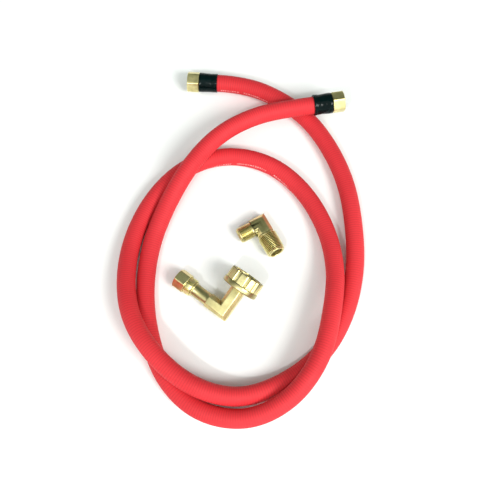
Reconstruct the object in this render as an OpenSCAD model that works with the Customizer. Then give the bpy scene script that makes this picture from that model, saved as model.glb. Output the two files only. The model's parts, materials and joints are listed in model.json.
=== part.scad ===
// Rubber supply hose with a swivel nut at each end, and two brass elbows that belong to it.
// Everything lies on a floor at z = 0. Lengths are in millimetres.

/* [Hose] */
// Outside diameter of the rubber cover
hose_od = 16; // [15.8:0.1:16]
// Outside diameter of the textile braid under the cover
braid_od = 13.3; // [13:0.1:13.3]
// Outside diameter of the smooth inner tube
liner_od = 12.1; // [11.8:0.1:12.1]
// Bore of the inner tube, 3/8 in
hose_bore = 9.5; // [9.5:0.1:9.7]
// Sides of the hose's cross-section
hose_sides = 12; // [12:4:16]
// Rings of the hose's skin between two points of its route
rings_per_span = 2; // [1:1:2]

/* [Hose ends] */
// Swivel nut across flats, 11/16 in
swivel_flats = 17.46; // [17.4:0.02:17.5]
// Length of the swivel nut
swivel_length = 11; // [10.8:0.1:11.4]
// Length of hose inside the crimped ferrule
ferrule_grip = 14; // [12:0.5:16]
// Outside radius of shrink sleeve a next to its nut
sleeve_a_radius = 9; // [9:0.05:9.6]
// Outside radius of shrink sleeve b next to its nut
sleeve_b_radius = 9.6; // [9:0.05:9.6]
// Turn of swivel nut a about its own axis, degrees; 0 has a corner up
nut_a_turn = 17; // [0:1:60]
// Turn of swivel nut b about its own axis, degrees; 0 has a corner up
nut_b_turn = 17; // [0:1:60]

/* [Threads] */
// Major radius of the 9/16-24 compression thread
compression_major = 7.14; // [7.1:0.01:7.15]
// Minor radius of the 9/16-24 compression thread
compression_minor = 6.65; // [6.6:0.01:6.7]
// Pitch of the compression thread
compression_pitch = 1.058; // [1:0.001:1.06]
// Major radius of the 3/4-11.5 hose thread
hose_thread_major = 13.5; // [13.4:0.05:13.5]
// Minor radius of the 3/4-11.5 hose thread
hose_thread_minor = 12.6; // [12.5:0.05:12.7]
// Pitch of the hose thread
hose_thread_pitch = 2.209; // [2.2:0.001:2.21]
// Crest radius of the 3/8 in pipe thread at the middle of its length
pipe_major = 8.5; // [8.4:0.05:8.55]
// Root radius of the 3/8 in pipe thread
pipe_minor = 7.6; // [7.5:0.05:7.7]
// Pitch of the pipe thread, 18 per inch
pipe_pitch = 1.411; // [1.4:0.001:1.42]

/* [Large elbow] */
// Long leg, from the crossing of the axes to the compression nut's end
large_long_leg = 50; // [49.5:0.5:52]
// Short leg, from the crossing of the axes to the hose-thread nut's mouth
large_short_leg = 37; // [36.5:0.5:38]
// Half the width of the square forging
large_half = 6.25; // [6.2:0.05:6.5]
// Width taken off each corner of the forging's section
large_chamfer = 3; // [1:0.1:3.2]
// Across flats of the compression nut, 5/8 in
compression_flats = 15.875; // [15.8:0.025:16]
// Length of the compression nut
compression_length = 11; // [11:0.1:11.4]
// Turn of the compression nut about its own axis, degrees; 0 has a corner up
compression_turn = 52; // [30:1:60]
// Radius of the hose-thread nut's rear flange
flange_radius = 16.2; // [16:0.1:16.4]
// Radius over the hose-thread nut's grip lugs
lug_radius = 15.6; // [15.3:0.1:15.6]
// Number of grip lugs on the hose-thread nut
lug_count = 10; // [6:1:10]

/* [Small elbow] */
// Long leg with the pipe thread, from the crossing of the axes
small_long_leg = 30; // [29:0.5:31]
// Short leg with the compression thread, from the crossing of the axes
small_short_leg = 21.5; // [21:0.5:23]
// Half the width of the square forging
small_half = 7.25; // [7:0.05:7.4]
// Width taken off each corner of the forging's section
small_chamfer = 3.4; // [1:0.1:3.4]

/* [Hidden] */
$fn = 64;

// Gap left between two pieces that touch on the real thing
touch = 0.05;
// Running clearance of a part that turns on another
running = 0.1;
// Extra length that carries a cut past a face
past = 1;

// Where the hose is cut at each end, and the heading of the way out of it, degrees
end_a_place = [-40, 156, 10.2];
end_a_heading = 176;
end_b_place = [81, 124, 25];
end_b_heading = 9;
// Straight hose behind each cut end, round the stem
end_straight = 24;

// Places on the hose's middle line between the two straight ends, from end a to end b
hose_route = [
    [5, 151, 9.6], [26, 143, 8.8], [58, 120, 8], [80, 87, 8], [94, 49, 8],
    [99, 9, 8], [98, -31, 8], [88, -70, 8], [68, -104, 8], [36, -129, 8.5],
    [-2, -142, 13], [-39, -134, 20], [-70, -110, 24.5], [-92, -76, 21], [-99, -37, 14],
    [-94, 2, 9], [-77, 39, 8], [-49, 67, 8], [-11, 78, 8], [27, 68, 8],
    [56, 41, 8], [74, 5, 9], [80, -34, 15], [75, -73, 22], [64, -111, 25],
    [40, -143, 20], [5, -159, 12], [-34, -152, 8.5], [-63, -125, 8], [-78, -87, 8],
    [-83, -48, 8], [-79, -8, 9], [-65, 29, 15], [-45, 62, 24], [-19, 92, 25],
    [16, 112, 24]
];

// The hose ends in their own frame: x runs out of the hose, and 0 is the cut end
stem_bore = 3.2;
stem_radius = 4.5;
barb_radius = 4.7;
barb_pitch = 4;
neck_radius = 5.4;
collar_radius = 6.3;
collar_start = 3.6;
collar_end = 5;
ferrule_lip = 1;
ferrule_inner = hose_od / 2 + touch;
ferrule_radius = 8.45;
crimp_radius = 8.25;
swivel_start = 1.4;
swivel_web = 2;
washer_thickness = 2;

// The large elbow: the long leg runs along +x and the short leg along -y
large_place = [-15.5, -68.9, 7.936];
large_heading = 143;
large_long_rise = 0.376;
large_short_rise = 18.57;
water_radius = 3.4;
tube_radius = 4.8;
thread_tip = 44.5;
grip_start = 32.5;
grip_end = 38.6;
grip_radius = 7.9;
hose_nut_length = 14.5;
hose_nut_flange = 4.8;
hose_nut_web = 1.8;
short_neck_radius = 6.1;
short_neck_end = 26.2;
retainer_start = 24.5;
retainer_thickness = 1;
hose_washer_thickness = 2.4;

// The small elbow: the pipe leg runs along +x and the compression leg along -y
small_place = [16.4, 9.6, 7.774];
small_heading = 298;
small_long_rise = 3.26;
small_short_dip = 1.868;
pipe_bore = 5.6;

brass = [0.86, 0.79, 0.48];
rubber_red = [0.88, 0.22, 0.25];
rubber_black = [0.12, 0.12, 0.12];
sleeve_black = [0.04, 0.07, 0.07];
braid_white = [0.92, 0.91, 0.86];
liner_grey = [0.3, 0.3, 0.3];

// ---------- Shared shapes ----------

// A turned part whose profile is a list of [radius, place along x]
module turned(profile) {
    rotate([0, 90, 0]) rotate_extrude() polygon(profile);
}

// A hexagonal bar along x, with a corner up at turn 0
module hex_bar(flats, start, length, turn) {
    translate([start, 0, 0])
        rotate([turn, 0, 0])
            rotate([0, 90, 0])
                cylinder(r = flats / 2 / cos(30), h = length, $fn = 6);
}

// A square bar with chamfered edges along x
module forged_bar(half, start, end, chamfer) {
    c = half - chamfer;
    translate([start, 0, 0])
        rotate([90, 0, 90])
            linear_extrude(end - start)
                polygon([
                    [-c, -half], [c, -half], [half, -c], [half, c],
                    [c, half], [-c, half], [-half, c], [-half, -c]
                ]);
}

// Ridges of a thread as rings, from the place start: count turns of the given pitch
function thread_rings(start, count, pitch, root, crest) = [
    for (i = [0 : count - 1])
        for (step = [[root, 0.02], [crest, 0.34], [crest, 0.66], [root, 0.98]])
            [step[0], start + (i + step[1]) * pitch]
];

// Turns the x axis onto the -y axis
module along_short_leg() {
    rotate([0, 0, -90]) children();
}

// ---------- The hose ----------

function heading_vector(heading) = [cos(heading), sin(heading), 0];

function unit(v) = v / norm(v);

end_a_back = end_a_place - end_straight * heading_vector(end_a_heading);
end_b_back = end_b_place - end_straight * heading_vector(end_b_heading);
knots = concat([end_a_place, end_a_back], hose_route, [end_b_back, end_b_place]);

// A point on the smooth curve through knots i and i + 1, at t from 0 to 1, never below the floor
function on_curve(i, t) =
    let (a = knots[i - 1], b = knots[i], c = knots[i + 1], d = knots[i + 2])
    let (p = 0.5 * (2 * b + (c - a) * t + (2 * a - 5 * b + 4 * c - d) * t * t
        + (3 * b - a - 3 * c + d) * t * t * t))
    [p.x, p.y, max(p.z, hose_od / 2)];

last_span = len(knots) - 3;
middle_line = concat(
    [end_a_place],
    [for (i = [1 : last_span]) for (k = [0 : rings_per_span - 1]) on_curve(i, k / rings_per_span)],
    [end_b_back, end_b_place]
);
last_ring = len(middle_line) - 1;

// The way the hose runs at ring i
function run_at(i) =
    i == 0 ? -heading_vector(end_a_heading)
    : i == last_ring ? heading_vector(end_b_heading)
    : unit(unit(middle_line[i + 1] - middle_line[i]) + unit(middle_line[i] - middle_line[i - 1]));

function ring_at(i, radius) =
    let (run = run_at(i), side = unit(cross([0, 0, 1], run)), up = cross(run, side))
    [for (k = [0 : hose_sides - 1])
        let (angle = 360 * k / hose_sides)
        middle_line[i] + radius * (cos(angle) * side + sin(angle) * up)];

// A hose wall between two radii, closed at both cut ends
module hose_wall(outer, inner) {
    n = hose_sides;
    rings = last_ring + 1;
    points = [for (radius = [outer, inner]) for (i = [0 : last_ring]) each ring_at(i, radius)];
    inside = n * rings;
    skin = [for (i = [0 : last_ring - 1]) for (k = [0 : n - 1])
        let (a = i * n + k, b = i * n + (k + 1) % n)
        each [
            [a, b + n, b], [a, a + n, b + n],
            [inside + a, inside + b, inside + b + n], [inside + a, inside + b + n, inside + a + n]
        ]];
    caps = [for (k = [0 : n - 1])
        let (m = (k + 1) % n, e = last_ring * n)
        each [
            [k, m, inside + m], [k, inside + m, inside + k],
            [e + k, inside + e + m, e + m], [e + k, inside + e + k, inside + e + m]
        ]];
    polyhedron(points, concat(skin, caps));
}

// The bore's flats keep to the bore, so its corners lie further out
liner_corner = hose_bore / 2 / cos(180 / hose_sides);

module hose_liner() {
    color(liner_grey) hose_wall(liner_od / 2, liner_corner);
}

module hose_braid() {
    color(braid_white) hose_wall(braid_od / 2, liner_od / 2 + touch);
}

module hose_cover() {
    color(rubber_red) hose_wall(hose_od / 2, braid_od / 2 + touch);
}

// ---------- The hose ends ----------

module at_end(place, heading) {
    translate(place) rotate([0, 0, heading]) children();
}

// Barbed insert with the collar that the swivel nut pulls on
module stem() {
    barbs = [for (i = [0 : 3]) each [
        [stem_radius, -18 + i * barb_pitch],
        [barb_radius, -15.2 + i * barb_pitch],
        [stem_radius, -15 + i * barb_pitch]
    ]];
    color(brass) turned(concat(
        [[stem_bore, collar_end], [stem_bore, -18]],
        barbs,
        [
            [stem_radius, touch], [neck_radius, touch], [neck_radius, collar_start],
            [collar_radius, collar_start], [collar_radius, collar_end]
        ]
    ));
}

// Brass ferrule with two crimps, closed over the cut end of the hose by its lip
module ferrule() {
    lip_bore = neck_radius + touch;
    color(brass) turned([
        [ferrule_inner, -ferrule_grip], [ferrule_inner, touch], [lip_bore, touch],
        [lip_bore, ferrule_lip], [ferrule_radius, ferrule_lip], [ferrule_radius, -3],
        [crimp_radius, -4], [crimp_radius, -6], [ferrule_radius, -7],
        [ferrule_radius, -8.5], [crimp_radius, -9.5], [crimp_radius, -11.5],
        [ferrule_radius, -12.5], [ferrule_radius, -ferrule_grip]
    ]);
}

// Shrink sleeve drawn tight over the ferrule and onto the hose
module sleeve(radius) {
    inner = ferrule_radius + touch;
    on_hose = hose_od / 2 + touch;
    tail = -ferrule_grip - 2;
    color(sleeve_black) turned([
        [on_hose, tail], [on_hose, -ferrule_grip - touch], [inner, -ferrule_grip - touch],
        [inner, ferrule_lip], [radius, ferrule_lip], [radius, -2],
        [radius - 0.15, -6], [radius - 0.15, -9], [radius - 0.1, -13],
        [radius - 0.3, tail + 0.3], [radius - 0.5, tail]
    ]);
}

// Hexagonal nut whose web turns on the stem's neck and pulls on its collar
module swivel_nut(turn) {
    start = swivel_start;
    end = start + swivel_length;
    corner = swivel_flats / 2 / cos(30);
    web_bore = neck_radius + running;
    relief = compression_major + running;
    thread_start = start + 5.8;
    color(brass) difference() {
        intersection() {
            hex_bar(swivel_flats, start, swivel_length, turn);
            turned([
                [0, start], [corner - 0.6, start], [corner, start + 0.5],
                [corner, end - 0.8], [corner - 1.1, end], [0, end]
            ]);
        }
        turned(concat(
            [
                [0, start - past], [web_bore, start - past], [web_bore, start + swivel_web],
                [relief, start + swivel_web], [relief, thread_start]
            ],
            thread_rings(thread_start, 4, compression_pitch, relief, compression_minor),
            [[relief, end - 0.5], [relief + 0.5, end], [relief + 0.5, end + past], [0, end + past]]
        ));
    }
}

// Rubber seal washer on the face of the stem's collar
module washer() {
    outer = compression_minor - 2 * running;
    color(rubber_black) turned([
        [4, collar_end + touch], [outer, collar_end + touch],
        [outer, collar_end + washer_thickness], [4, collar_end + washer_thickness]
    ]);
}

module stem_a() at_end(end_a_place, end_a_heading) stem();
module ferrule_a() at_end(end_a_place, end_a_heading) ferrule();
module sleeve_a() at_end(end_a_place, end_a_heading) sleeve(sleeve_a_radius);
module swivel_nut_a() at_end(end_a_place, end_a_heading) swivel_nut(nut_a_turn);
module washer_a() at_end(end_a_place, end_a_heading) washer();
module stem_b() at_end(end_b_place, end_b_heading) stem();
module ferrule_b() at_end(end_b_place, end_b_heading) ferrule();
module sleeve_b() at_end(end_b_place, end_b_heading) sleeve(sleeve_b_radius);
module swivel_nut_b() at_end(end_b_place, end_b_heading) swivel_nut(nut_b_turn);
module washer_b() at_end(end_b_place, end_b_heading) washer();

// ---------- The large elbow ----------

// It lies on its corner, on the flange of one nut and on a corner of the other, so both legs rise
module at_large_elbow() {
    translate(large_place)
        rotate([0, 0, large_heading])
            rotate([0, -large_long_rise, 0])
                rotate([-large_short_rise, 0, 0])
                    children();
}

compression_start = large_long_leg - compression_length;
hose_nut_start = large_short_leg - hose_nut_length;

module large_elbow_body() {
    square_end = 16;
    leg_radius = 5.7;
    groove = [retainer_start - touch, retainer_start + retainer_thickness + touch];
    groove_radius = short_neck_radius - 0.9;
    stub = compression_major - running;
    color(brass) at_large_elbow() difference() {
        union() {
            forged_bar(large_half, -large_half, square_end, large_chamfer);
            turned([
                [0, 2], [leg_radius + 0.4, 2], [leg_radius + 0.4, square_end],
                [leg_radius, square_end + 1.5],
                [leg_radius, grip_start - 1.6], [leg_radius + 1, grip_start - 1.2],
                [leg_radius + 1, grip_start], [stub - 0.8, grip_start], [stub - 0.8, grip_end],
                [stub, grip_end], [stub, thread_tip - 0.6], [stub - 0.6, thread_tip], [0, thread_tip]
            ]);
            intersection() {
                for (k = [0 : 3])
                    rotate([45 * k, 0, 0])
                        translate([grip_start, -2.2, -grip_radius])
                            cube([grip_end - grip_start, 4.4, 2 * grip_radius]);
                turned([
                    [0, grip_start], [grip_radius - 0.7, grip_start], [grip_radius, grip_start + 0.7],
                    [grip_radius, grip_end], [0, grip_end]
                ]);
            }
            along_short_leg() forged_bar(large_half, -large_half, hose_nut_start - 0.3, large_chamfer);
            along_short_leg() turned([
                [0, 2], [short_neck_radius, 2], [short_neck_radius, groove[0]],
                [groove_radius, groove[0]], [groove_radius, groove[1]],
                [short_neck_radius, groove[1]], [short_neck_radius, short_neck_end - 0.4],
                [short_neck_radius - 0.4, short_neck_end], [0, short_neck_end]
            ]);
        }
        turned([
            [0, 0], [water_radius, 0], [water_radius, grip_end - 3], [tube_radius, grip_end - 3],
            [tube_radius, thread_tip - 1.6], [tube_radius + 1.6, thread_tip],
            [tube_radius + 1.6, thread_tip + past], [0, thread_tip + past]
        ]);
        along_short_leg() turned([
            [0, 0], [water_radius, 0], [water_radius, short_neck_end + past],
            [0, short_neck_end + past]
        ]);
        sphere(water_radius);
    }
}

module compression_nut() {
    start = compression_start;
    end = large_long_leg;
    corner = compression_flats / 2 / cos(30);
    chamber = compression_major + touch;
    hole = tube_radius + touch;
    color(brass) at_large_elbow() difference() {
        intersection() {
            hex_bar(compression_flats, start, compression_length, compression_turn);
            turned([
                [0, start], [corner - 0.7, start], [corner, start + 0.6],
                [corner, end - 0.7], [corner - 0.9, end], [0, end]
            ]);
        }
        turned([
            [0, start - past], [chamber, start - past], [chamber, end - 3.2], [hole, end - 1.6],
            [hole, end + past], [0, end + past]
        ]);
    }
}

// Soft brass ring that the nut squeezes onto the tube
module compression_sleeve() {
    start = thread_tip - 0.9;
    end = large_long_leg - 2.2;
    color(brass) at_large_elbow() turned([
        [tube_radius, start], [tube_radius + 0.6, start], [tube_radius + 1.5, start + 1.2],
        [tube_radius + 1.5, end - 1.6], [tube_radius + 0.4, end], [tube_radius, end]
    ]);
}

module hose_thread_nut() {
    start = hose_nut_start;
    end = large_short_leg;
    tier = start + hose_nut_flange;
    web_bore = short_neck_radius + running;
    thread_start = end - 1.2 - 3 * hose_thread_pitch;
    lug_width = 2 * lug_radius * sin(115 / lug_count);
    between_lugs = lug_radius - 1.2;
    color(brass) at_large_elbow() along_short_leg() difference() {
        union() {
            turned([
                [0, start], [flange_radius - 0.8, start], [flange_radius, start + 0.8],
                [flange_radius, tier - 0.6], [flange_radius - 0.6, tier], [0, tier]
            ]);
            turned([[0, tier], [between_lugs, tier], [between_lugs, end], [0, end]]);
            intersection() {
                for (k = [0 : lug_count - 1])
                    rotate([360 * k / lug_count, 0, 0])
                        translate([tier - 0.5, -lug_width / 2, 0])
                            cube([end - tier + 0.5, lug_width, lug_radius]);
                turned([
                    [0, tier - 0.5], [lug_radius, tier - 0.5], [lug_radius, end - 0.8],
                    [lug_radius - 0.8, end], [0, end]
                ]);
            }
        }
        turned(concat(
            [
                [0, start - past], [web_bore, start - past], [web_bore, start + hose_nut_web],
                [hose_thread_major, start + hose_nut_web], [hose_thread_major, thread_start]
            ],
            thread_rings(thread_start, 3, hose_thread_pitch, hose_thread_major, hose_thread_minor),
            [
                [hose_thread_major, end - 0.4], [hose_thread_major + 0.4, end],
                [hose_thread_major + 0.4, end + past], [0, end + past]
            ]
        ));
    }
}

// Split ring in the short leg's groove, which keeps the hose-thread nut on
module hose_thread_retainer() {
    inner = short_neck_radius - 0.85;
    outer = short_neck_radius + 1.5;
    color(brass) at_large_elbow() along_short_leg() difference() {
        turned([
            [inner, retainer_start], [outer, retainer_start],
            [outer, retainer_start + retainer_thickness], [inner, retainer_start + retainer_thickness]
        ]);
        translate([retainer_start - past, -0.8, 0])
            cube([retainer_thickness + 2 * past, 1.6, outer + past]);
    }
}

module hose_thread_washer() {
    inner = water_radius + 0.6;
    outer = hose_thread_minor - 2 * running;
    start = short_neck_end + touch;
    end = start + hose_washer_thickness;
    color(rubber_black) at_large_elbow() along_short_leg() turned([
        [inner, start], [outer, start], [outer, end], [inner, end]
    ]);
}

// ---------- The small elbow ----------

// It lies on its corner and on both threads, so the pipe leg rises and the compression leg dips
module at_small_elbow() {
    translate(small_place)
        rotate([0, 0, small_heading])
            rotate([0, -small_long_rise, 0])
                rotate([small_short_dip, 0, 0])
                    children();
}

module small_elbow_body() {
    square_end = 10.5;
    inside_square = small_half - touch;
    pipe_start = 12;
    pipe_turns = floor((small_long_leg - 0.8 - pipe_start) / pipe_pitch);
    pipe_end = pipe_start + pipe_turns * pipe_pitch;
    leg_start = 9.5;
    leg_turns = floor((small_short_leg - 1 - leg_start) / compression_pitch);
    leg_end = leg_start + leg_turns * compression_pitch;
    color(brass) at_small_elbow() difference() {
        union() {
            forged_bar(small_half, -small_half, square_end, small_chamfer);
            turned(concat(
                [
                    [0, 0], [inside_square, 0], [inside_square, square_end],
                    [pipe_minor, square_end + 0.4], [pipe_minor, pipe_start]
                ],
                thread_rings(pipe_start, pipe_turns, pipe_pitch, pipe_minor, pipe_major),
                [[pipe_minor, pipe_end], [pipe_minor - 0.3, small_long_leg], [0, small_long_leg]]
            ));
            along_short_leg() forged_bar(small_half, -small_half, 8, small_chamfer);
            along_short_leg() turned(concat(
                [[0, 0], [compression_minor, 0], [compression_minor, leg_start]],
                thread_rings(leg_start, leg_turns, compression_pitch, compression_minor, compression_major),
                [
                    [compression_minor, leg_end], [compression_minor - 0.4, small_short_leg],
                    [0, small_short_leg]
                ]
            ));
        }
        turned([
            [0, 0], [pipe_bore, 0], [pipe_bore, small_long_leg + past], [0, small_long_leg + past]
        ]);
        along_short_leg() turned([
            [0, 0], [water_radius, 0], [water_radius, small_short_leg - 8],
            [tube_radius, small_short_leg - 8], [tube_radius, small_short_leg - 1.2],
            [tube_radius + 1.2, small_short_leg], [tube_radius + 1.2, small_short_leg + past],
            [0, small_short_leg + past]
        ]);
        sphere(pipe_bore);
    }
}

hose_liner();
hose_braid();
hose_cover();
stem_a();
ferrule_a();
sleeve_a();
swivel_nut_a();
washer_a();
stem_b();
ferrule_b();
sleeve_b();
swivel_nut_b();
washer_b();
large_elbow_body();
compression_nut();
compression_sleeve();
hose_thread_nut();
hose_thread_retainer();
hose_thread_washer();
small_elbow_body();
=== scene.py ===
"""Looks of a red rubber supply hose with brass swivel nuts, and of its two loose brass elbows.

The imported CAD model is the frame. Each shape here is one closed skin of rings: a ring is a loop of
points round an axis, and the rings run along the outside and back through the bore.
Lengths are in metres in the row's frame. Names that end in _MM, and the stations along a turned part
or an elbow's leg, are in millimetres in the part's own frame.
"""

import json
import math

import bpy
import numpy as np
from mathutils import Matrix, Vector


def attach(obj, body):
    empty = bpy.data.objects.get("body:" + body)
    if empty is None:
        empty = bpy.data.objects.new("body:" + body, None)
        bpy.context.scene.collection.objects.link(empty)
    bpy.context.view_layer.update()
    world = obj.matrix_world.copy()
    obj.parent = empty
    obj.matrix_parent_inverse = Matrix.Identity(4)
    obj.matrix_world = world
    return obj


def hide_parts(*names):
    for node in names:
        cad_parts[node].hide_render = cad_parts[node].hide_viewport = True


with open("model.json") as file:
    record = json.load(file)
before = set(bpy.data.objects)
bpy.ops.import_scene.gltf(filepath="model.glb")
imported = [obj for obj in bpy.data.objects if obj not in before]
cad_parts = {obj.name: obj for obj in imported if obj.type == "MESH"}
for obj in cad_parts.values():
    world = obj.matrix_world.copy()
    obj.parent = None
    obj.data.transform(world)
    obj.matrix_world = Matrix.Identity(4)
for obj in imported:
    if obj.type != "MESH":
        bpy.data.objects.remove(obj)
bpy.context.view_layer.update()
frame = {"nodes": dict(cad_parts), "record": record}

MM = 0.001
UP = np.array([0.0, 0.0, 1.0])

# ---------- Driving dimensions, as the CAD model has them, in millimetres ----------

HOSE_RADIUS_MM = 8.0
BRAID_RADII_MM = (6.62, 6.1)
COVER_INNER_MM = 6.7
LINER_RADII_MM = (6.05, 4.75)
END_STRAIGHT_MM = 24.0
SWIVEL_FLATS_MM = 17.46
SWIVEL_START_MM = 1.4
SWIVEL_LENGTH_MM = 11.0
COMPRESSION_MAJOR_MM = 7.14
COMPRESSION_MINOR_MM = 6.65
COMPRESSION_PITCH_MM = 1.058
COMPRESSION_FLATS_MM = 15.875
HOSE_THREAD_MAJOR_MM = 13.5
HOSE_THREAD_MINOR_MM = 12.6
HOSE_THREAD_PITCH_MM = 2.209
PIPE_PITCH_MM = 1.411
WATER_RADIUS_MM = 3.4
TUBE_RADIUS_MM = 4.8
SLEEVE_TAIL_MM = -16
# Outlines of the two shrink sleeves: (place along, outside radius), from the tail to the nut
SLEEVE_A_MM = [(-16, 8.75), (-14.5, 8.8), (-10, 8.62), (-6, 8.68), (-2.5, 9.0), (1, 9.1)]
SLEEVE_B_MM = [(-16, 9.35), (-15.2, 9.6), (-13.5, 9.25), (-9, 9.1), (-5, 9.3), (-1, 9.45), (1, 9.3)]
LARGE_HALF_MM = 6.25
LARGE_CHAMFER_MM = 3
SMALL_HALF_MM = 7.25
SMALL_CHAMFER_MM = 3.4
LUG_COUNT = 10

# Turns of the hexagonal nuts about their own axes, in degrees; 0 has a corner up
SWIVEL_TURN = 17
COMPRESSION_TURN = 52

# Places on the hose's middle line between its straight ends, from end a to end b
HOSE_ROUTE = [
    (0.005, 0.151, 0.0096), (0.026, 0.143, 0.0088), (0.058, 0.120, 0.008),
    (0.080, 0.087, 0.008), (0.094, 0.049, 0.008), (0.099, 0.009, 0.008),
    (0.098, -0.031, 0.008), (0.088, -0.070, 0.008), (0.068, -0.104, 0.008),
    (0.036, -0.129, 0.0085), (-0.002, -0.142, 0.013), (-0.039, -0.134, 0.020),
    (-0.070, -0.110, 0.0245), (-0.092, -0.076, 0.021), (-0.099, -0.037, 0.014),
    (-0.094, 0.002, 0.009), (-0.077, 0.039, 0.008), (-0.049, 0.067, 0.008),
    (-0.011, 0.078, 0.008), (0.027, 0.068, 0.008), (0.056, 0.041, 0.008),
    (0.074, 0.005, 0.009), (0.080, -0.034, 0.015), (0.075, -0.073, 0.022),
    (0.064, -0.111, 0.025), (0.040, -0.143, 0.020), (0.005, -0.159, 0.012),
    (-0.034, -0.152, 0.0085), (-0.063, -0.125, 0.008), (-0.078, -0.087, 0.008),
    (-0.083, -0.048, 0.008), (-0.079, -0.008, 0.009), (-0.065, 0.029, 0.015),
    (-0.045, 0.062, 0.024), (-0.019, 0.092, 0.025), (0.016, 0.112, 0.024),
]


# ---------- Camera ----------

def make_camera():
    """A long look down from the front, with the hose's ends at the far side."""
    tilt = math.radians(20)
    distance = 0.617
    aim = Vector((0.007, -0.011, 0.0))
    data = bpy.data.cameras.new("camera")
    data.lens = 50
    data.sensor_width = 36
    data.clip_start = 0.01
    camera = bpy.data.objects.new("camera", data)
    camera.location = aim + Vector((0, -math.sin(tilt), math.cos(tilt))) * distance
    camera.rotation_euler = (tilt, 0, 0)
    bpy.context.collection.objects.link(camera)
    bpy.context.scene.camera = camera


make_camera()


# ---------- Places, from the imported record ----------

JOINTS = {joint["name"]: joint for joint in frame["record"]["behaviour"]["joints"]}
MOUNTS = {mount["name"]: mount for mount in frame["record"]["mounts"]}


def unit(vector):
    return vector / np.linalg.norm(vector)


def place_on(point, out, short_leg=None):
    """Matrix of a part whose +x runs along out, and whose -y runs along short_leg if it has one."""
    x = unit(np.array(out, float))
    if short_leg is None:
        y = unit(np.cross(UP, x))
    else:
        y = -unit(np.array(short_leg, float))
    z = np.cross(x, y)
    matrix = np.eye(4)
    matrix[:3, :3] = np.column_stack([x, y, z])
    matrix[:3, 3] = point
    return matrix


END_A = place_on(JOINTS["swivel_a_spin"]["pos_m"], JOINTS["swivel_a_spin"]["axis"])
END_B = place_on(JOINTS["swivel_b_spin"]["pos_m"], JOINTS["swivel_b_spin"]["axis"])
LARGE = place_on(
    JOINTS["hose_thread_spin"]["pos_m"],
    JOINTS["compression_turn"]["axis"],
    JOINTS["hose_thread_spin"]["axis"],
)
# The small elbow's axes cross this far behind the middle of its pipe thread
PIPE_MIDDLE_MM = 12 + 6.5 * PIPE_PITCH_MM
PIPE_OUT = np.array(MOUNTS["pipe_thread"]["axis"])
SMALL = place_on(
    np.array(MOUNTS["pipe_thread"]["pos_m"]) - PIPE_OUT * PIPE_MIDDLE_MM * MM,
    PIPE_OUT,
    MOUNTS["compression_thread"]["axis"],
)


# ---------- Skins of rings ----------

def ring_skin(name, rings, material, uv=None, sharp=32):
    """A closed skin through rings[ring, point, xyz]. The last ring is joined to the first."""
    count, sides = rings.shape[:2]
    ring = np.arange(count)[:, None]
    side = np.arange(sides)[None, :]
    next_ring = (ring + 1) % count
    next_side = (side + 1) % sides
    corners = [ring * sides + side, ring * sides + next_side]
    corners += [next_ring * sides + next_side, next_ring * sides + side]
    faces = np.stack([np.broadcast_to(c, (count, sides)) for c in corners], axis=-1).reshape(-1, 4)
    mesh = bpy.data.meshes.new(name)
    mesh.vertices.add(count * sides)
    mesh.vertices.foreach_set("co", rings.reshape(-1).astype(np.float32))
    mesh.loops.add(faces.size)
    mesh.loops.foreach_set("vertex_index", faces.reshape(-1).astype(np.int32))
    mesh.polygons.add(len(faces))
    mesh.polygons.foreach_set("loop_start", np.arange(0, faces.size, 4, dtype=np.int32))
    mesh.update(calc_edges=True)
    if uv is not None:
        layer = mesh.uv_layers.new(name="along_and_round")
        layer.data.foreach_set("uv", uv(faces, sides).reshape(-1).astype(np.float32))
    mesh.validate()
    mesh.shade_smooth()
    mesh.set_sharp_from_angle(angle=math.radians(sharp))
    mesh.materials.append(material)
    piece = bpy.data.objects.new(name, mesh)
    bpy.context.collection.objects.link(piece)
    return piece


def outward(rings):
    """The same rings, ordered so that the skin's faces look out."""
    step = np.roll(rings, -1, axis=0) - rings
    turn = np.roll(rings, -1, axis=1) - rings
    volume = float((np.cross(turn, step) * rings).sum())
    return rings if volume > 0 else rings[::-1]


def placed(rings_mm, matrix):
    """Rings in a part's own millimetres, moved to their place in the row."""
    return rings_mm * MM @ matrix[:3, :3].T + matrix[:3, 3]


def angles(sides):
    return np.arange(sides) * (2 * math.pi / sides)


def turned(name, stations, matrix, material, sides=128, sharp=32):
    """A part turned about +x. A station is (x, radius), in mm, and a radius may be a function of angle."""
    phi = angles(sides)
    rings = []
    for x, radius in stations:
        r = radius(phi) if callable(radius) else np.full(sides, float(radius))
        rings.append(np.stack([np.full(sides, float(x)), r * np.cos(phi), r * np.sin(phi)], axis=-1))
    return ring_skin(name, outward(placed(np.array(rings), matrix)), material, sharp=sharp)


def rounded(corners, radius=0.25, steps=4):
    """Stations round a closed outline of (x, radius) corners, each corner eased by an arc-like curve."""
    out = []
    count = len(corners)
    points = [np.array(c, float) for c in corners]
    for i, point in enumerate(points):
        before, after = points[i - 1] - point, points[(i + 1) % count] - point
        reach = min(radius, 0.45 * np.linalg.norm(before), 0.45 * np.linalg.norm(after))
        start, end = point + unit(before) * reach, point + unit(after) * reach
        for t in np.linspace(0, 1, steps + 1):
            out.append(tuple((1 - t) ** 2 * start + 2 * t * (1 - t) * point + t * t * end))
    return out


def many_flats(flats, phi, firm=60):
    """Radius at angle phi of a bar bounded by flats, each (angle, distance). Its edges are slightly
    rounded, and less so the higher firm is."""
    total = np.zeros_like(phi)
    for angle, distance in flats:
        reach = np.maximum(np.cos(phi - angle), 0.0) / distance
        total += reach ** firm
    return total ** (-1.0 / firm)


def hexagon(flats_mm, turn_degrees):
    """Flats of a hexagon that has a corner up at turn 0."""
    half = flats_mm / 2
    return [(math.radians(60 * k + turn_degrees), half) for k in range(6)]


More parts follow.
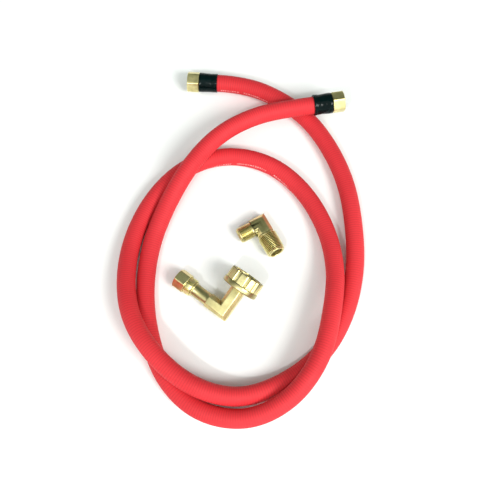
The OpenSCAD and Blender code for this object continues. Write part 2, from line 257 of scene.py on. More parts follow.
def chamfered_square(half, chamfer):
    corner = (2 * half - chamfer) / math.sqrt(2)
    return [(math.radians(45 * k), corner if k % 2 else half) for k in range(8)]


def limited(radius, limit, firm=24):
    """The smaller of two radii, blended where they meet."""
    return (radius ** -firm + limit ** -firm) ** (-1.0 / firm)


def thread_height(x, phi, start, end, pitch, hand=1):
    """0 at a helical thread's root and 1 at its crest, faded out at both ends."""
    phase = ((x - start) / pitch - hand * phi / (2 * math.pi)) % 1.0
    height = np.clip((0.5 - np.abs(phase - 0.5)) * 2.6 - 0.15, 0.0, 1.0)
    fade = min(1.0, max(0.0, (x - start) / (0.6 * pitch)), max(0.0, (end - x) / (0.6 * pitch)))
    return height * fade


def threaded(start, end, pitch, root, crest, hand=1, taper=0.0):
    """Stations of a helical thread. Root and crest are radii at start, and taper is the slope along x."""
    steps = int(round((end - start) / pitch * 9))
    stations = []
    for x in np.linspace(start, end, steps + 1):
        drop = (x - start) * taper

        def radius(phi, x=x, drop=drop):
            return root - drop + (crest - root) * thread_height(x, phi, start, end, pitch, hand)

        stations.append((x, radius))
    return stations


# ---------- Materials ----------

class Surface:
    """A procedural material on one Principled shader."""

    def __init__(self, name, colour, roughness, metallic=0.0, **constants):
        self.material = bpy.data.materials.new(name)
        self.material.use_nodes = True
        self.tree = self.material.node_tree
        self.shader = self.tree.nodes["Principled BSDF"]
        self.set("Base Color", (*colour, 1))
        self.set("Roughness", roughness)
        self.set("Metallic", metallic)
        for key, value in constants.items():
            self.set(key.replace("_", " "), value)

    def set(self, socket, value):
        self.shader.inputs[socket].default_value = value

    def node(self, kind, **settings):
        """A new node. Names of settings are those of its inputs, or of its own properties."""
        node = self.tree.nodes.new(kind)
        for key, value in settings.items():
            socket = node.inputs.get(key.replace("_", " "))
            if socket is None:
                setattr(node, key, value)
            elif isinstance(value, bpy.types.NodeSocket):
                self.tree.links.new(value, socket)
            else:
                socket.default_value = value
        return node

    def coordinates(self, scale, source="Object"):
        """Coordinates stretched by scale, which has one number for each axis."""
        texture = self.node("ShaderNodeTexCoord")
        mapping = self.node("ShaderNodeMapping", Vector=texture.outputs[source])
        mapping.inputs["Scale"].default_value = scale
        return mapping.outputs["Vector"]

    def noise(self, scale, detail, roughness=0.55):
        return self.node(
            "ShaderNodeTexNoise",
            Vector=self.coordinates((1.0, 1.0, 1.0)),
            Scale=scale,
            Detail=detail,
            Roughness=roughness,
        ).outputs["Fac"]

    def ramp(self, factor, *stops):
        """A colour ramp from (place, colour) stops. A colour may be a single grey."""
        ramp = self.node("ShaderNodeValToRGB", Fac=factor)
        elements = ramp.color_ramp.elements
        while len(elements) < len(stops):
            elements.new(0.5)
        for element, (place, colour) in zip(elements, stops):
            element.position = place
            element.color = (*colour, 1) if isinstance(colour, tuple) else (colour, colour, colour, 1)
        return ramp.outputs["Color"]

    def span(self, factor, low, high):
        """Factor from 0 to 1, spread between low and high."""
        return self.node(
            "ShaderNodeMapRange", Value=factor, To_Min=low, To_Max=high
        ).outputs["Result"]

    def mix(self, factor, a, b, blend="MIX"):
        mix = self.tree.nodes.new("ShaderNodeMix")
        mix.data_type = "RGBA"
        mix.blend_type = blend
        for socket, value in zip((mix.inputs[0], mix.inputs[6], mix.inputs[7]), (factor, a, b)):
            if isinstance(value, bpy.types.NodeSocket):
                self.tree.links.new(value, socket)
            else:
                socket.default_value = value if isinstance(value, float) else (*value, 1)
        return mix.outputs[2]

    def link(self, output, socket):
        self.tree.links.new(output, self.shader.inputs[socket])

    def bump(self, *layers):
        """Bump from (height, strength, depth in metres) layers, one on the other."""
        normal = None
        for height, strength, distance in layers:
            node = self.node("ShaderNodeBump", Height=height, Strength=strength, Distance=distance)
            if normal is not None:
                self.tree.links.new(normal, node.inputs["Normal"])
            normal = node.outputs["Normal"]
        self.link(normal, "Normal")


def red_rubber():
    """Matt red rubber cured in wet cloth: a fine weave is pressed into it, dust lies in the weave, and
    painted shade darkens the grooves between the ribs.
    """
    s = Surface("red_rubber", (0.7, 0.03, 0.04), 0.66, Specular_IOR_Level=0.3)
    patches = s.ramp(s.noise(14, 3), (0.3, (0.58, 0.021, 0.029)), (0.7, (0.69, 0.031, 0.04)))
    one_rib_in_u = 2 * math.pi / 20
    rib = s.node(
        "ShaderNodeTexWave", Vector=s.coordinates((1, 1, 1), "UV"), Scale=one_rib_in_u, Detail=0.0,
    ).outputs["Fac"]
    # Painted shade: the colour is darkened in the grooves between the ribs, where shade falls.
    shade = s.ramp(rib, (0.0, 0.82), (0.4, 1.0))
    specks = s.ramp(s.noise(900, 2), (0.64, 0.0), (0.8, 0.25))
    ribbed = s.mix(1.0, patches, shade, "MULTIPLY")
    s.link(s.mix(specks, ribbed, (0.86, 0.12, 0.12)), "Base Color")
    s.link(s.span(s.noise(160, 5), 0.6, 0.75), "Roughness")
    weave = s.node(
        "ShaderNodeTexWave", Vector=s.coordinates((0, 1, 0), "UV"), Scale=10.0, Distortion=0.6,
        bands_direction="Y",
    ).outputs["Fac"]
    s.bump((weave, 0.15, 0.0001), (s.noise(1500, 3), 0.3, 0.00008))
    return s.material


def white_ink():
    """Worn white printing ink with the rubber showing through."""
    s = Surface("white_ink", (0.9, 0.6, 0.6), 0.6)
    worn = s.ramp(s.noise(1100, 4), (0.36, 0.0), (0.6, 1.0))
    s.link(s.mix(worn, (0.82, 0.42, 0.4), (0.72, 0.08, 0.09)), "Base Color")
    s.bump((s.noise(2200, 3), 0.2, 0.00005))
    return s.material


def black_sleeve():
    """Glossy heat-shrunk plastic with soft ripples."""
    s = Surface("black_sleeve", (0.001, 0.006, 0.006), 0.09, Specular_IOR_Level=0.11)
    shades = s.ramp(s.noise(90, 3), (0.3, (0.0005, 0.004, 0.004)), (0.75, (0.001, 0.009, 0.009)))
    s.link(shades, "Base Color")
    s.link(s.span(s.noise(420, 4), 0.06, 0.16), "Roughness")
    s.bump((s.noise(240, 2), 0.6, 0.0005), (s.noise(1600, 3), 0.12, 0.00008))
    return s.material


def brass(name, bright, dull, roughness, grain):
    """Yellow brass: tarnish in patches, painted shade in its grooves, threads and inner corners, and a
    machined or forged grain.
    """
    s = Surface(name, bright, roughness, 1.0)
    patches = s.ramp(s.noise(70, 5, 0.6), (0.38, dull), (0.6, bright))
    flecks = s.ramp(s.noise(1300, 3), (0.3, 0.0), (0.42, 1.0))
    pointiness = s.node("ShaderNodeNewGeometry").outputs["Pointiness"]
    # Painted shade: the colour is darkened where the surface curves inward, in grooves, threads and inner
    # corners.
    painted_shade_in_hollows = s.ramp(pointiness, (0.44, 0.12), (0.497, 1.0))
    s.link(s.mix(1.0, s.mix(flecks, dull, patches), painted_shade_in_hollows, "MULTIPLY"), "Base Color")
    s.link(s.span(s.noise(380, 5), roughness * 0.75, roughness * 1.5), "Roughness")
    s.bump((s.noise(grain, 4), 0.2, 0.0001), (s.noise(grain * 0.12, 2), 0.2, 0.0004))
    return s.material


def plain_rubber(name, colour):
    """Dull moulded rubber."""
    s = Surface(name, colour, 0.55)
    low = tuple(0.6 * c for c in colour)
    s.link(s.ramp(s.noise(240, 4), (0.3, low), (0.7, colour)), "Base Color")
    s.link(s.span(s.noise(700, 3), 0.45, 0.7), "Roughness")
    s.bump((s.noise(1800, 3), 0.3, 0.0001))
    return s.material


def braid_textile():
    """Pale yarn, with a painted highlight along the top of each strand and painted shade between the
    strands.
    """
    s = Surface("braid_textile", (0.8, 0.77, 0.68), 0.85)
    yarn = s.node(
        "ShaderNodeTexWave", Vector=s.coordinates((1, 1, 1), "UV"), Scale=260.0, Distortion=2.0,
    ).outputs["Fac"]
    # Painted light and shade: the colour is lighter along the top of each strand and darker between the
    # strands.
    s.link(s.ramp(yarn, (0.2, (0.5, 0.48, 0.42)), (0.7, (0.84, 0.81, 0.73))), "Base Color")
    s.bump((yarn, 0.5, 0.0003))
    return s.material


RED = red_rubber()
INK = white_ink()
SLEEVE = black_sleeve()
BRASS = brass("machined_brass", (0.85, 0.76, 0.38), (0.6, 0.53, 0.24), 0.31, 2600)
FORGED = brass("forged_brass", (0.84, 0.76, 0.37), (0.6, 0.53, 0.24), 0.31, 1500)
LINER = plain_rubber("liner_rubber", (0.03, 0.03, 0.03))
WASHER = plain_rubber("washer_rubber", (0.02, 0.02, 0.02))
BRAID = braid_textile()


# ---------- The hose ----------

STEPS_PER_SPAN = 24
SMOOTHING = 0.012


def hose_line(spacing):
    """The hose's middle line at even spacing: straight in both ends, a Catmull-Rom curve through the
    route between them, then evened out over the smoothing length and kept off the floor."""
    back = END_STRAIGHT_MM * MM
    start, end = END_A[:3, 3], END_B[:3, 3]
    knots = np.array([start, start - back * END_A[:3, 0], *HOSE_ROUTE, end - back * END_B[:3, 0], end])
    points = [start]
    t = np.linspace(0, 1, STEPS_PER_SPAN, endpoint=False)[:, None]
    for a, b, c, d in zip(knots, knots[1:], knots[2:], knots[3:]):
        curve = 2 * b + (c - a) * t + (2 * a - 5 * b + 4 * c - d) * t**2 + (3 * b - a - 3 * c + d) * t**3
        points.extend(0.5 * curve)
    points += [knots[-2], end]
    line_points = even(np.array(points), spacing)
    floor = HOSE_RADIUS_MM * MM
    straight = int(back / spacing)
    for _ in range(int((SMOOTHING / spacing) ** 2)):
        middle = 0.25 * line_points[:-2] + 0.5 * line_points[1:-1] + 0.25 * line_points[2:]
        line_points[straight:-straight] = middle[straight - 1:1 - straight]
        line_points[:, 2] = np.maximum(line_points[:, 2], floor)
    return even(line_points, spacing)


def even(points, spacing):
    """The same line with points at one even spacing."""
    lengths = np.linalg.norm(np.diff(points, axis=0), axis=1)
    along = np.concatenate([[0], np.cumsum(lengths)])
    count = int(round(along[-1] / spacing)) + 1
    wanted = np.linspace(0, along[-1], count)
    return np.stack([np.interp(wanted, along, points[:, k]) for k in range(3)], axis=-1)


def directions(points):
    """Unit vectors to the left of the line, and up from it, at each point."""
    run = np.gradient(points, axis=0)
    run /= np.linalg.norm(run, axis=1, keepdims=True)
    left = np.cross(UP, run)
    left /= np.linalg.norm(left, axis=1, keepdims=True)
    return left, np.cross(run, left)


def swept(points, radii):
    """Rings round a line, where radii[ring, side] are in metres."""
    left, up = directions(points)
    phi = angles(radii.shape[1])
    across = left[:, None] * np.cos(phi)[None, :, None] + up[:, None] * np.sin(phi)[None, :, None]
    return points[:, None] + across * radii[..., None]


def tube(name, points, outer, inner, material, along):
    """A swept wall between outer radii and one inner radius, in metres. Its U is the number that along
    gives for each ring."""
    sides = outer.shape[1]
    skin = np.concatenate([swept(points, outer), swept(points, np.full_like(outer, inner))[::-1]])
    u_of_ring = np.concatenate([along, along[::-1]])

    def uv(faces, sides):
        side = faces % sides
        side = np.where((side == 0) & (side != side[:, :1]), sides, side)
        return np.stack([u_of_ring[faces // sides], side / sides], axis=-1)

    return ring_skin(name, skin, material, uv, sharp=60)


RIB_PITCH = 0.0021
RIB_DEPTH = 0.00012
RINGS_PER_RIB = 6
COVER_SIDES = 40
LINER_SIDES = 32
BRAID_SIDES = 48
BRAID_YARNS = 12
BRAID_DEPTH = 0.00008
# How far the braid's pattern moves on from one ring to the next, in radians
BRAID_ADVANCE = 1.1


def cover_shape(length, count, sides):
    """Outer radii of the cover, and how many ribs lie before each ring.
    The curing cloth pressed the ribs in, and no two are quite alike."""
    draw = np.random.default_rng(7)
    along = np.linspace(0, length, count)
    ribs = along / RIB_PITCH + 0.35 * np.sin(along * 41) + 0.2 * np.sin(along * 97 + 1)
    ribs -= ribs.min()
    clear = 0.65 + 0.35 * np.sin(along * 14 + 2.2) * np.sin(along * 5.3)
    height = clear * draw.uniform(0.5, 1.0, int(ribs.max()) + 1)[ribs.astype(int)]
    profile = np.clip(np.sin(math.pi * (ribs % 1.0)), 0, 1) ** 0.3
    swell = 0.00006 * np.sin(3 * angles(sides)[None] + along[:, None] * 21) * np.sin(along[:, None] * 33)
    radii = HOSE_RADIUS_MM * MM - 0.00003 - RIB_DEPTH * (height * (1 - profile))[:, None] + swell
    return radii, ribs


def make_hose():
    points = hose_line(RIB_PITCH / RINGS_PER_RIB)
    length = float(np.linalg.norm(np.diff(points, axis=0), axis=1).sum())
    radii, ribs = cover_shape(length, len(points), COVER_SIDES)
    cover = tube("rubber_cover", points, radii, COVER_INNER_MM * MM, RED, ribs)
    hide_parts("hose_cover")
    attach(cover, "hose")
    coarse = points[::5]
    ring = np.arange(len(coarse))
    turn = BRAID_YARNS * angles(BRAID_SIDES)[None]
    advance = ring[:, None] * BRAID_ADVANCE
    weave = np.sin(turn + advance) * np.sin(turn - advance)
    outer, inner = (r * MM for r in BRAID_RADII_MM)
    woven = outer - BRAID_DEPTH * (1 - weave)
    braid = tube("textile_braid", coarse, woven, inner, BRAID, ring * BRAID_ADVANCE)
    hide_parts("hose_braid")
    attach(braid, "hose")
    outer, inner = (r * MM for r in LINER_RADII_MM)
    smooth = np.full((len(coarse), LINER_SIDES), outer)
    liner = tube("inner_tube", coarse, smooth, inner, LINER, ring)
    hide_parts("hose_liner")
    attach(liner, "hose")
    return cover, points, length


# The hose is twisted as it lies, so its printed line comes up from below only near these places:
# metres along the hose, and the angle that it reaches there, where 90 is up and 180 is out to the side
PRINT_SHOWS = ((0.045, 172), (0.78, 160))
PRINT_HIDDEN = 212
PRINT_FADE = 0.06


def print_angle(along):
    """Where the printed line lies round the hose, in radians."""
    rise = 0
    for place, angle in PRINT_SHOWS:
        rise += (PRINT_HIDDEN - angle) * math.exp(-(((along - place) / PRINT_FADE) ** 2))
    return math.radians(PRINT_HIDDEN - rise)


def make_print(points):
    """A broken line of plain dashes along the hose, in place of a printed legend."""
    draw = np.random.default_rng(11)
    left, up = directions(points)
    spacing = np.linalg.norm(points[1] - points[0])
    radius = HOSE_RADIUS_MM * MM + 0.00001
    start = 0.02
    end = len(points) * spacing - 0.03
    vertices, faces = [], []
    while start < end:
        group_end = start + draw.uniform(0.015, 0.035)
        while start < group_end:
            width = draw.uniform(0.0009, 0.0018)
            tall = draw.choice([0.0011, 0.0017]) / radius
            first = int(start / spacing)
            last = min(int((start + width) / spacing) + 1, len(points) - 1)
            base = len(vertices)
            for ring in range(first, last + 1):
                middle = print_angle(ring * spacing)
                for angle in np.linspace(middle - tall / 2, middle + tall / 2, 4):
                    across = left[ring] * math.cos(angle) + up[ring] * math.sin(angle)
                    vertices.append(points[ring] + across * radius)
            for ring in range(last - first):
                for step in range(3):
                    a = base + ring * 4 + step
                    faces.append((a, a + 1, a + 5, a + 4))
            start += width + draw.uniform(0.0007, 0.0013)
        start += draw.uniform(0.003, 0.01)
    mesh = bpy.data.meshes.new("dashes")
    mesh.from_pydata([tuple(v) for v in vertices], [], faces)
    mesh.shade_smooth()
    mesh.materials.append(INK)
    dashes = bpy.data.objects.new("printed_dashes", mesh)
    bpy.context.collection.objects.link(dashes)
    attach(dashes, "hose")


# ---------- The hose ends ----------

def ripples(seed):
    """A function of x and angle: the gentle waves of plastic that shrank over the crimps."""
    draw = np.random.default_rng(seed)
    waves = [(draw.integers(2, 8), draw.uniform(0.4, 1.6), draw.uniform(0, 6.3)) for _ in range(9)]

    def height(x, phi):
        return sum(np.sin(n * phi + k * x + p) / (1 + 0.3 * n) for n, k, p in waves)

    return height


def make_sleeve(name, node, outline, seed, matrix):
    """A shrink sleeve. Its outline is the outside radius, in mm, at places from its tail to the nut."""
    xs, radii = zip(*outline)
    wave = ripples(seed)
    front, tail = 1.0, SLEEVE_TAIL_MM
    stations = [(front - 0.02, radii[-1] - 0.5), (front, radii[-1] - 0.3), (front - 0.02, radii[-1] - 0.1)]
    for x in np.linspace(front - 0.12, tail + 0.12, 72):
        base = np.interp(x, xs, radii)
        ease = min(1.0, (front - x) / 1.5, (x - tail) / 1.5)
        stations.append((x, lambda phi, x=x, base=base, ease=ease: base + 0.06 * ease * wave(x, phi)))
    stations += [(tail, radii[0] - 0.12), (tail - 0.04, radii[0] - 0.3), (tail, 8.1), (tail + 0.1, 8.06)]
    # Inside, the sleeve steps out from the hose to the ferrule
    stations += [(-14.1, 8.06), (-14.05, 8.5), (0.9, 8.5)]
    sleeve = turned(name, stations, matrix, SLEEVE, sides=96, sharp=70)
    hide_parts(node)
    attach(sleeve, "hose")
    return sleeve


def hex_outside(flats_mm, turn, start, end, rear_chamfer, front_chamfer):
    """Stations along a hexagon whose corners are turned away at both faces, from rear to front."""
    corner = flats_mm / 2 / math.cos(math.pi / 6)
    sides = hexagon(flats_mm, turn)
    stations = []
    places = [start + 0.02, start + 0.12, *np.linspace(start + 0.25, start + 1.2, 7)]
    places += [*np.linspace(start + 1.6, end - 1.8, 5), *np.linspace(end - 1.5, end - 0.25, 9)]
    places += [end - 0.12, end - 0.02]
    for x in places:
        rear = corner - rear_chamfer + (x - start) * 1.9
        front = corner - front_chamfer + (end - x) * 1.9
        limit = min(rear, front, corner + 0.05)
        ease = 0.12 * math.exp(-(x - start) / 0.08) + 0.12 * math.exp(-(end - x) / 0.08)

        def radius(phi, limit=limit, ease=ease):
            return limited(many_flats(sides, phi), limit) - ease

        stations.append((x, radius))
    return stations


def swivel_nut(name, node, body, matrix):
    """A hexagonal nut with its thread in front and a web behind that holds it on the stem."""
    start = SWIVEL_START_MM
    end = start + SWIVEL_LENGTH_MM
    relief = COMPRESSION_MAJOR_MM + 0.1
    first = start + 5.6
    stations = hex_outside(SWIVEL_FLATS_MM, SWIVEL_TURN, start, end, 0.8, 1.3)
    stations += [(end, 8.3), (end, 7.9), (end - 0.03, 7.8), (end - 0.5, relief)]
    stations += threaded(first, end - 0.6, COMPRESSION_PITCH_MM, relief, COMPRESSION_MINOR_MM)[::-1]
    stations += [(first - 0.2, relief), (start + 2.0, relief), (start + 2.0, 5.6), (start + 1.9, 5.5)]
    stations += [(start + 0.1, 5.5), (start, 5.6), (start, 7.0), (start, 8.2)]
    nut = turned(name, stations, matrix, BRASS, sides=192)
    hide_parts(node)
    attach(nut, body)
    return nut


def stem(name, node, matrix):
    """The barbed insert that shows down the mouth of the swivel nut."""
    first_barb, barb_count, barb_pitch = -17.6, 4, 4
    outline = [(5.0, 3.2), (-18.0, 3.2), (-18.0, 4.4)]
    for barb in range(barb_count):
        x = first_barb + barb_pitch * barb
        outline += [(x, 4.45), (x + 2.4, 4.7), (x + 2.5, 4.45)]
    outline += [(0.1, 4.5), (0.1, 5.38), (3.6, 5.38), (3.6, 6.3), (5.0, 6.3)]
    piece = turned(name, rounded(outline, 0.15, 3), matrix, BRASS, sides=96)
    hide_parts(node)
    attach(piece, "hose")
    return piece


# ---------- The elbows ----------

def elbow_skin(name, matrix, long_stations, short_stations, bore_long, bore_short, half, chamfer, bore):
    """An elbow as one skin: in along the long leg, round the mitred corner, out along the short leg,
    and back through both bores. Stations run from the corner to the leg's tip, as (distance, radius)."""
    sides = 192
    phi = angles(sides)
    square = many_flats(chamfered_square(half, chamfer), phi, firm=70)
    drilled = np.full(sides, bore)

    def radius_of(radius):
        return radius(phi) if callable(radius) else np.full(sides, float(radius))

    def long_ring(x, r):
        return np.stack([np.full(sides, x), r * np.cos(phi), r * np.sin(phi)], axis=-1)

    def short_ring(u, r):
        return np.stack([-r * np.cos(phi), np.full(sides, -u), r * np.sin(phi)], axis=-1)

    def mitre_ring(r):
        return np.stack([-r * np.cos(phi), r * np.cos(phi), r * np.sin(phi)], axis=-1)

    rings = [long_ring(x, radius_of(r)) for x, r in reversed(long_stations)]
    rings.append(mitre_ring(square))
    rings += [short_ring(u, radius_of(r)) for u, r in short_stations]
    rings += [short_ring(u, radius_of(r)) for u, r in reversed(bore_short)]
    rings.append(mitre_ring(drilled))
    rings += [long_ring(x, radius_of(r)) for x, r in bore_long]
    skin = outward(placed(np.array(rings), matrix))
    piece = ring_skin(name, skin, FORGED)
    return piece


def square_leg(half, chamfer, end):
    """Stations of the forging's square bar, with its end face eased."""
    flats = chamfered_square(half, chamfer)

    def bar(phi, inset=0.0):
        return many_flats(flats, phi, firm=70) - inset

    return [
        (half + 0.8, bar), (end - 0.3, bar), (end - 0.08, lambda phi: bar(phi, 0.07)),
        (end, lambda phi: bar(phi, 0.25)),
    ]


def toothed(tip, root, count, half_width, scallop=0.0):
    """A function of angle: the radius of a ring of flat-topped teeth, one of which stands on +z.
    Tip is the radius over the teeth's corners, and half_width is half a tooth's angle, in degrees.
    Scallop is how much deeper a gap is in its middle than at the teeth."""
    pitch = 2 * math.pi / count
    half = math.radians(half_width)

    def radius(phi, inset=0.0):
        off = (phi - math.pi / 2 + pitch / 2) % pitch - pitch / 2
        flat = tip * math.cos(half) / np.cos(off)
        tooth = 1 / (1 + np.exp((np.abs(off) - half) * 110))
        middle_of_gap = np.clip((np.abs(off) - half) / (pitch / 2 - half), 0.0, 1.0)
        floor = root - scallop * middle_of_gap ** 2
        return floor + (flat - floor) * tooth - inset

    return radius


def make_large_elbow():
    """The forged elbow with a compression thread on its long leg and a neck for the hand nut."""
    half, chamfer = LARGE_HALF_MM, LARGE_CHAMFER_MM
    tip = 44.5
    long_leg = square_leg(half, chamfer, 16.0)
    # A round neck with a bead at its end
    long_leg += [(16.02, 6.15), (16.2, 6.05), (16.8, 5.85), (17.6, 5.7), (30.6, 5.7), (30.95, 5.85)]
    long_leg += [(31.15, 6.4), (31.35, 6.62), (31.6, 6.7), (32.0, 6.7), (32.25, 6.6), (32.4, 6.4)]
    # A notched collar, then the thread for the compression nut
    collar = toothed(7.9, 6.7, 8, 16.2)
    long_leg += [
        (32.5, 6.4),
        (32.55, lambda phi: np.minimum(collar(phi), 7.2)),
        (33.0, lambda phi: collar(phi, 0.1)),
        (33.2, collar),
        (38.3, collar),
        (38.55, lambda phi: collar(phi, 0.15)),
        (38.6, 6.5),
        (38.7, 6.45),
        (38.9, 6.45),
    ]
    long_leg += threaded(39.0, tip - 0.3, COMPRESSION_PITCH_MM, 6.5, COMPRESSION_MAJOR_MM - 0.1)
    long_leg += [(tip - 0.1, 6.5), (tip, 6.44)]
    bore_long = [(half + 0.8, WATER_RADIUS_MM), (35.5, WATER_RADIUS_MM), (35.6, TUBE_RADIUS_MM)]
    bore_long += [(tip - 1.6, TUBE_RADIUS_MM), (tip - 0.05, TUBE_RADIUS_MM + 1.55)]
    # The short leg's round neck has a groove for the retaining ring
    short_leg = square_leg(half, chamfer, 22.2)
    short_leg += [(22.22, 6.1), (24.45, 6.1), (24.45, 5.2), (25.55, 5.2), (25.55, 6.1), (25.9, 6.1)]
    short_leg += [(26.1, 5.95), (26.2, 5.7)]
    bore_short = [(half + 0.8, WATER_RADIUS_MM), (25.9, WATER_RADIUS_MM), (26.2, WATER_RADIUS_MM + 0.25)]
    elbow = elbow_skin(
        "large_elbow", LARGE, long_leg, short_leg, bore_long, bore_short, half, chamfer, WATER_RADIUS_MM
    )
    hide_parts("large_elbow_body")
    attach(elbow, "large_elbow")


def make_small_elbow():
    """The forged elbow with a tapered pipe thread on its long leg and a compression thread."""
    half, chamfer = SMALL_HALF_MM, SMALL_CHAMFER_MM
    pipe_tip, tip = 30.0, 21.5
    long_leg = square_leg(half, chamfer, 10.5)
    long_leg += [(10.55, 7.2), (10.9, 7.6), (11.6, 7.6)]
    long_leg += threaded(11.7, pipe_tip - 0.5, PIPE_PITCH_MM, 7.7, 8.7, taper=1 / 32)
    long_leg += [(pipe_tip - 0.2, 7.1), (pipe_tip, 6.9)]
    bore_long = [(half + 0.8, 5.6), (pipe_tip - 0.3, 5.6), (pipe_tip, 5.85)]
    short_leg = square_leg(half, chamfer, 8.0)
    short_leg += [(8.05, 6.65), (8.8, 6.6), (9.3, 6.6)]
    short_leg += threaded(9.4, tip - 0.5, COMPRESSION_PITCH_MM, 6.6, COMPRESSION_MAJOR_MM, hand=-1)
    short_leg += [(tip - 0.15, 6.4), (tip, 6.2)]
    bore_short = [(half + 0.8, WATER_RADIUS_MM), (13.5, WATER_RADIUS_MM), (13.6, TUBE_RADIUS_MM)]
    bore_short += [(tip - 1.2, TUBE_RADIUS_MM), (tip - 0.05, TUBE_RADIUS_MM + 1.15)]
    elbow = elbow_skin("small_elbow", SMALL, long_leg, short_leg, bore_long, bore_short, half, chamfer, 4.2)
    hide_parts("small_elbow_body")
    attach(elbow, "small_elbow")


def make_compression_nut():
    """The hexagonal nut on the large elbow's long leg."""
    start, end = 39.0, 50.0
    chamber = COMPRESSION_MAJOR_MM + 0.05
    hole = TUBE_RADIUS_MM + 0.05
    stations = hex_outside(COMPRESSION_FLATS_MM, COMPRESSION_TURN, start, end, 0.9, 1.5)
    stations += [(end, 6.6), (end, 5.4), (end - 0.05, 5.1), (end - 0.35, hole), (end - 1.6, hole)]
    stations += [(end - 3.1, chamber)]
    stations += threaded(start + 0.6, end - 3.4, COMPRESSION_PITCH_MM, chamber + 0.1, chamber - 0.08)[::-1]
    stations += [(start + 0.3, chamber + 0.2), (start, chamber + 0.3)]
    nut = turned("compression_cap_nut", stations, LARGE, BRASS, sides=192)
    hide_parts("compression_nut")
    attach(nut, "compression_cap")


def make_hose_thread_nut():
    """The lugged hand nut on the large elbow's short leg: a round flange, and lugs from tier to end."""
    start, tier, end = 22.5, 27.3, 37.0
    short = LARGE.copy()
    short[:3, 0], short[:3, 1] = -LARGE[:3, 1], LARGE[:3, 0]
    grip = toothed(15.6, 14.35, LUG_COUNT, 11.0, scallop=0.45)
    stations = [(start, 6.6), (start, 15.0), (start + 0.03, 15.35), (start + 0.15, 15.65)]
    stations += [(start + 0.45, 15.95), (start + 0.85, 16.15), (start + 1.2, 16.2), (tier - 0.8, 16.2)]
    stations += [(tier - 0.35, 16.1), (tier - 0.08, 15.85), (tier, 15.6), (tier + 0.02, grip)]
    stations += [
        (tier + 0.4, grip),
        (end - 0.9, grip),
        (end - 0.4, lambda phi: grip(phi, 0.08)),
        (end - 0.12, lambda phi: grip(phi, 0.25)),
        (end, lambda phi: np.minimum(grip(phi, 0.4), 14.6)),
    ]
    # The countersunk mouth, the thread, and the web that turns on the elbow's neck
    major, minor = HOSE_THREAD_MAJOR_MM, HOSE_THREAD_MINOR_MM
    stations += [(end - 0.05, 14.25), (end - 0.7, major + 0.05)]
    first = start + 6.3
    stations += threaded(first, end - 0.9, HOSE_THREAD_PITCH_MM, major, minor)[::-1]
    stations += [(first - 0.2, major), (start + 1.9, major)]
    stations += [(start + 1.8, 13.3), (start + 1.8, 6.4), (start + 1.7, 6.2), (start + 0.15, 6.2)]
    stations += [(start + 0.02, 6.35)]
    nut = turned("hose_thread_hand_nut", stations, short, BRASS, sides=320)
    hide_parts("hose_thread_nut")
    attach(nut, "hose_thread_swivel")


# ---------- Making everything ----------

cover, hose_points, hose_length = make_hose()
make_print(hose_points)
make_sleeve("sleeve_a_skin", "sleeve_a", SLEEVE_A_MM, 3, END_A)
sleeve_b = make_sleeve("sleeve_b_skin", "sleeve_b", SLEEVE_B_MM, 5, END_B)
swivel_nut("swivel_nut_a_skin", "swivel_nut_a", "swivel_a", END_A)
nut_b = swivel_nut("swivel_nut_b_skin", "swivel_nut_b", "swivel_b", END_B)
stem("stem_a_skin", "stem_a", END_A)
stem_b = stem("stem_b_skin", "stem_b", END_B)
make_large_elbow()
make_compression_nut()
make_hose_thread_nut()
make_small_elbow()

# The CAD solids that show as they are, with their materials
KEPT = {
    "ferrule_a": BRASS, "ferrule_b": BRASS, "compression_sleeve": BRASS, "hose_thread_retainer": BRASS,
    "washer_a": WASHER, "washer_b": WASHER, "hose_thread_washer": WASHER,
}
for node, material in KEPT.items():
    kept = frame["nodes"][node]
    kept.data.materials.clear()
    kept.data.materials.append(material)


# ---------- Floor and light ----------

def make_floor():
    """A plain white floor."""
    surface = Surface("floor", (0.91, 0.93, 0.925), 0.75)
    mesh = bpy.data.meshes.new("floor")
    size = 3.0
    corners = [(-size, -size, 0), (size, -size, 0), (size, size, 0), (-size, size, 0)]
    mesh.from_pydata(corners, [], [(0, 1, 2, 3)])
    mesh.materials.append(surface.material)
    floor = bpy.data.objects.new("floor", mesh)
    bpy.context.collection.objects.link(floor)


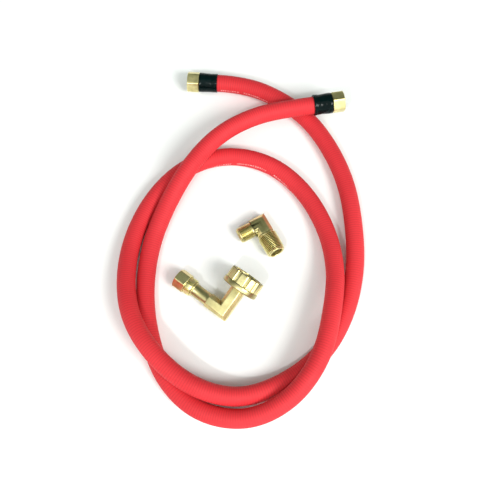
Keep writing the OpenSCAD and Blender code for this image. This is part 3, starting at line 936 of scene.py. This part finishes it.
def soft_light(name, place, aim, size, power, colour):
    """A round lamp at a place, turned to its aim. Size is its diameter, and power is in watts."""
    data = bpy.data.lights.new(name, "AREA")
    data.shape = "DISK"
    data.size = size
    data.energy = power
    data.color = colour
    light = bpy.data.objects.new(name, data)
    light.location = place
    light.rotation_euler = (Vector(aim) - Vector(place)).to_track_quat("-Z", "Y").to_euler()
    bpy.context.collection.objects.link(light)


def make_studio():
    """A room that is bright in front of the object and round the horizon, and dim elsewhere."""
    world = bpy.data.worlds.new("studio")
    world.use_nodes = True
    tree = world.node_tree
    direction = tree.nodes.new("ShaderNodeTexCoord").outputs["Generated"]
    split = tree.nodes.new("ShaderNodeSeparateXYZ")
    tree.links.new(direction, split.inputs["Vector"])
    bright = tree.nodes.new("ShaderNodeMath")
    bright.operation = "MAXIMUM"
    # Axis of the direction, where it is dim along it, where it is bright, and how bright it gets
    fades = (("Y", 0.06, -0.14, 1.0), ("Z", 0.45, 0.1, 0.75))
    for slot, (axis, dim_from, bright_from, most) in enumerate(fades):
        fade = tree.nodes.new("ShaderNodeMapRange")
        fade.interpolation_type = "SMOOTHSTEP"
        fade.inputs["From Min"].default_value = dim_from
        fade.inputs["From Max"].default_value = bright_from
        fade.inputs["To Max"].default_value = most
        tree.links.new(split.outputs[axis], fade.inputs["Value"])
        tree.links.new(fade.outputs["Result"], bright.inputs[slot])
    ramp = tree.nodes.new("ShaderNodeValToRGB")
    ramp.color_ramp.elements[0].color = (0.14, 0.17, 0.15, 1)
    ramp.color_ramp.elements[1].color = (0.97, 1.0, 0.98, 1)
    tree.links.new(bright.outputs["Value"], ramp.inputs["Fac"])
    background = tree.nodes["Background"]
    tree.links.new(ramp.outputs["Color"], background.inputs["Color"])
    background.inputs["Strength"].default_value = 1.2
    bpy.context.scene.world = world


def make_light():
    make_studio()
    soft_light("front_soft", (1.3, -1.2, 1.7), (0, 0, 0), 1.0, 43, (1.0, 0.99, 0.97))
    soft_light("small_lamp", (-0.35, -0.9, 1.2), (0, 0, 0), 0.1, 5.5, (1.0, 1.0, 1.0))
    bpy.context.scene.view_settings.view_transform = "Standard"


make_floor()
make_light()
